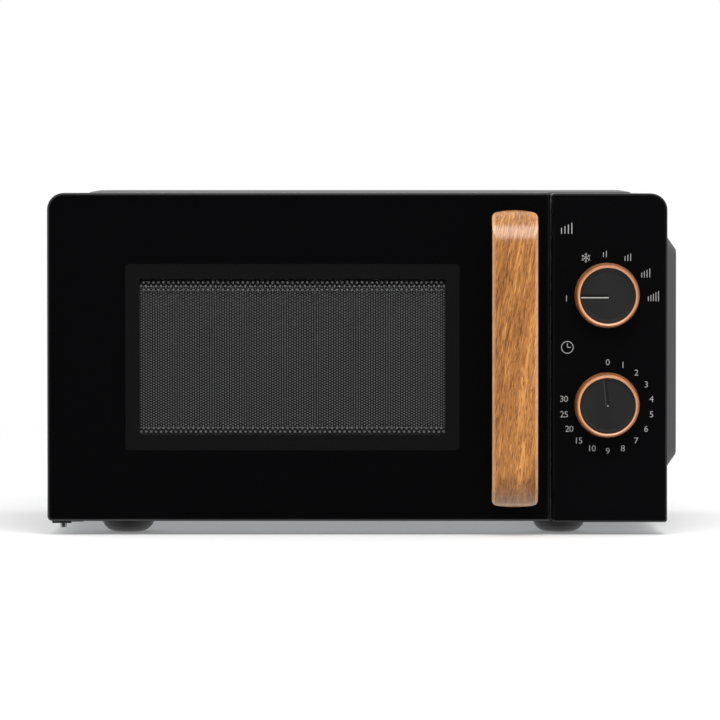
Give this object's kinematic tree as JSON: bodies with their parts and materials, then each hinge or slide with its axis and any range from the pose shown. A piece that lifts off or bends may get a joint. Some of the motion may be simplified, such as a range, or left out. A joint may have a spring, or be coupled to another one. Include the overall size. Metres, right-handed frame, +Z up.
{
  "type": "microwave oven",
  "caption": "Countertop microwave oven with a side-hinged window door, upright bowed handle, two dial knobs, glass turntable and a sheet-metal cabinet.",
  "frame": {"origin": "middle of the bounding box's bottom face, on the surface that the oven stands on", "axes": "+X to the right seen from the front, +Y from the door to the back, +Z up; the door faces -Y"},
  "size_m": [0.462, 0.374, 0.249],
  "materials": {
    "cabinet_paint": "matt black powder coat on steel sheet",
    "zinc_sheet": "zinc-plated steel sheet",
    "foot_plastic": "dull dark rubber",
    "black_fitting": "matt black moulding",
    "screw_steel": "zinc-plated steel",
    "cavity_paint": "light grey enamel paint, semi-gloss",
    "mica": "mica sheet",
    "tube_copper": "copper, lightly oxidised",
    "fin_aluminium": "bare aluminium",
    "core_steel": "varnished laminations",
    "pale_plastic": "natural nylon",
    "grey_plastic": "grey moulding",
    "red_plastic": "red moulding",
    "lamp_glass": "clear glass",
    "board_green": "circuit board",
    "bell_steel": "bright steel",
    "housing_plastic": "black moulding, fine texture",
    "fascia_black": "piano black, glossy",
    "hinge_steel": "zinc-plated steel",
    "frame_plastic": "gloss black moulding",
    "door_glass": "black-printed glass with a dotted window",
    "screen_paint": "black painted perforated steel",
    "clear_film": "clear plastic sheet",
    "wood_effect": "wood-effect film, satin",
    "knob_dark": "dark grey satin insert",
    "hook_plastic": "acetal",
    "tray_glass": "clear pressed glass"
  },
  "bodies": {
    "cabinet": {"base_plate": "zinc_sheet", "capacitor_clamp": "zinc_sheet", "cavity": "cavity_paint", "control_fascia": "fascia_black", "control_housing": "housing_plastic", "cord_inlet": "black_fitting", "door_switches": "black_fitting", "fan_motor": "zinc_sheet", "fan_shroud": "grey_plastic", "feet": "foot_plastic", "hv_capacitor": "fin_aluminium", "hv_diode": "black_fitting", "hv_fuse": "pale_plastic", "lamp_holder": "pale_plastic", "latch_board": "pale_plastic", "lower_hinge": "hinge_steel", "magnetron_filter_box": "fin_aluminium", "magnetron_fins": "fin_aluminium", "magnetron_tube": "tube_copper", "magnetron_yoke": "zinc_sheet", "noise_filter_board": "board_green", "outer_cabinet": "cabinet_paint", "oven_lamp": "lamp_glass", "power_switch_body": "grey_plastic", "rear_panel": "zinc_sheet", "rear_screws": "screw_steel", "rear_spacer": "black_fitting", "thermal_cutouts": "black_fitting", "timer_bell": "bell_steel", "timer_body": "grey_plastic", "transformer_core": "core_steel", "transformer_windings": "tube_copper", "turntable_motor": "zinc_sheet", "upper_hinge": "hinge_steel", "waveguide": "zinc_sheet", "waveguide_cover": "mica"},
    "door": {"door_frame": "frame_plastic", "door_glass": "door_glass", "door_screen": "screen_paint", "door_film": "clear_film", "choke_cover": "black_fitting", "handle_bar": "wood_effect", "handle_screws": "screw_steel", "latch_spring": "screw_steel"},
    "latch": {"latch_hooks": "hook_plastic"},
    "power_knob": {"power_knob_ring": "wood_effect", "power_knob_cap": "knob_dark", "power_shaft": "screw_steel"},
    "timer_knob": {"timer_knob_ring": "wood_effect", "timer_knob_cap": "knob_dark", "timer_shaft": "screw_steel"},
    "fan": {"fan_blade": "black_fitting"},
    "coupler": {"drive_coupler": "pale_plastic"},
    "tray": {"glass_tray": "tray_glass"},
    "roller_carrier": {"roller_ring": "pale_plastic"},
    "wheel_1": {"roller_1": "pale_plastic"},
    "wheel_2": {"roller_2": "pale_plastic"},
    "wheel_3": {"roller_3": "pale_plastic"},
    "plungers": {"switch_plungers": "red_plastic"},
    "lever": {"interlock_lever": "pale_plastic"}
  },
  "joints": [
    {"name": "door_hinge", "type": "hinge", "parent": "cabinet", "child": "door", "pos_m": [-0.22, -0.1375, 0.129], "axis": [0, 0, -1], "range_deg": [0, 100]},
    {"name": "latch_slide", "type": "slide", "parent": "door", "child": "latch", "axis": [0, 0, 1], "range_m": [0, 0.004], "stiffness_N_per_m": 300, "springref_m": -0.004, "deforming": ["latch_spring"]},
    {"name": "power_turn", "type": "hinge", "parent": "cabinet", "child": "power_knob", "pos_m": [0.1762, -0.163, 0.1746], "axis": [0, 1, 0], "range_deg": [0, 180]},
    {"name": "timer_turn", "type": "hinge", "parent": "cabinet", "child": "timer_knob", "pos_m": [0.1762, -0.163, 0.0948], "axis": [0, 1, 0], "range_deg": [0, 280]},
    {"name": "fan_spin", "type": "hinge", "parent": "cabinet", "child": "fan", "pos_m": [0.16, 0.158, 0.148], "axis": [0, 1, 0], "continuous": true},
    {"name": "coupler_spin", "type": "hinge", "parent": "cabinet", "child": "coupler", "pos_m": [-0.0526, 0.0185, 0.0369], "axis": [0, 0, 1], "continuous": true},
    {"name": "tray_lift", "type": "slide", "parent": "coupler", "child": "tray", "axis": [0, 0, 1], "range_m": [0, 0.012]},
    {"name": "ring_spin", "type": "hinge", "parent": "cabinet", "child": "roller_carrier", "pos_m": [-0.0526, 0.0185, 0.0369], "axis": [0, 0, 1], "continuous": true},
    {"name": "wheel_1_spin", "type": "hinge", "parent": "roller_carrier", "child": "wheel_1", "pos_m": [-0.0526, 0.1155, 0.0369], "axis": [0, 1, 0], "continuous": true},
    {"name": "wheel_2_spin", "type": "hinge", "parent": "roller_carrier", "child": "wheel_2", "pos_m": [-0.1366, -0.03, 0.0369], "axis": [-0.866, -0.5, 0], "continuous": true},
    {"name": "wheel_3_spin", "type": "hinge", "parent": "roller_carrier", "child": "wheel_3", "pos_m": [0.0314, -0.03, 0.0369], "axis": [0.866, -0.5, 0], "continuous": true},
    {"name": "plunger_press", "type": "slide", "parent": "cabinet", "child": "plungers", "axis": [0, 1, 0], "range_m": [0, 0.0012], "stiffness_N_per_m": 500, "springref_m": -0.0005},
    {"name": "lever_rock", "type": "hinge", "parent": "cabinet", "child": "lever", "pos_m": [0.1177, -0.1092, 0.127], "axis": [1, 0, 0], "range_deg": [-5, 5], "stiffness_Nm_per_rad": 0.02}
  ],
  "couplings": [
    {"joint": "ring_spin", "follows": "coupler_spin", "ratio": 0.5}
  ]
}
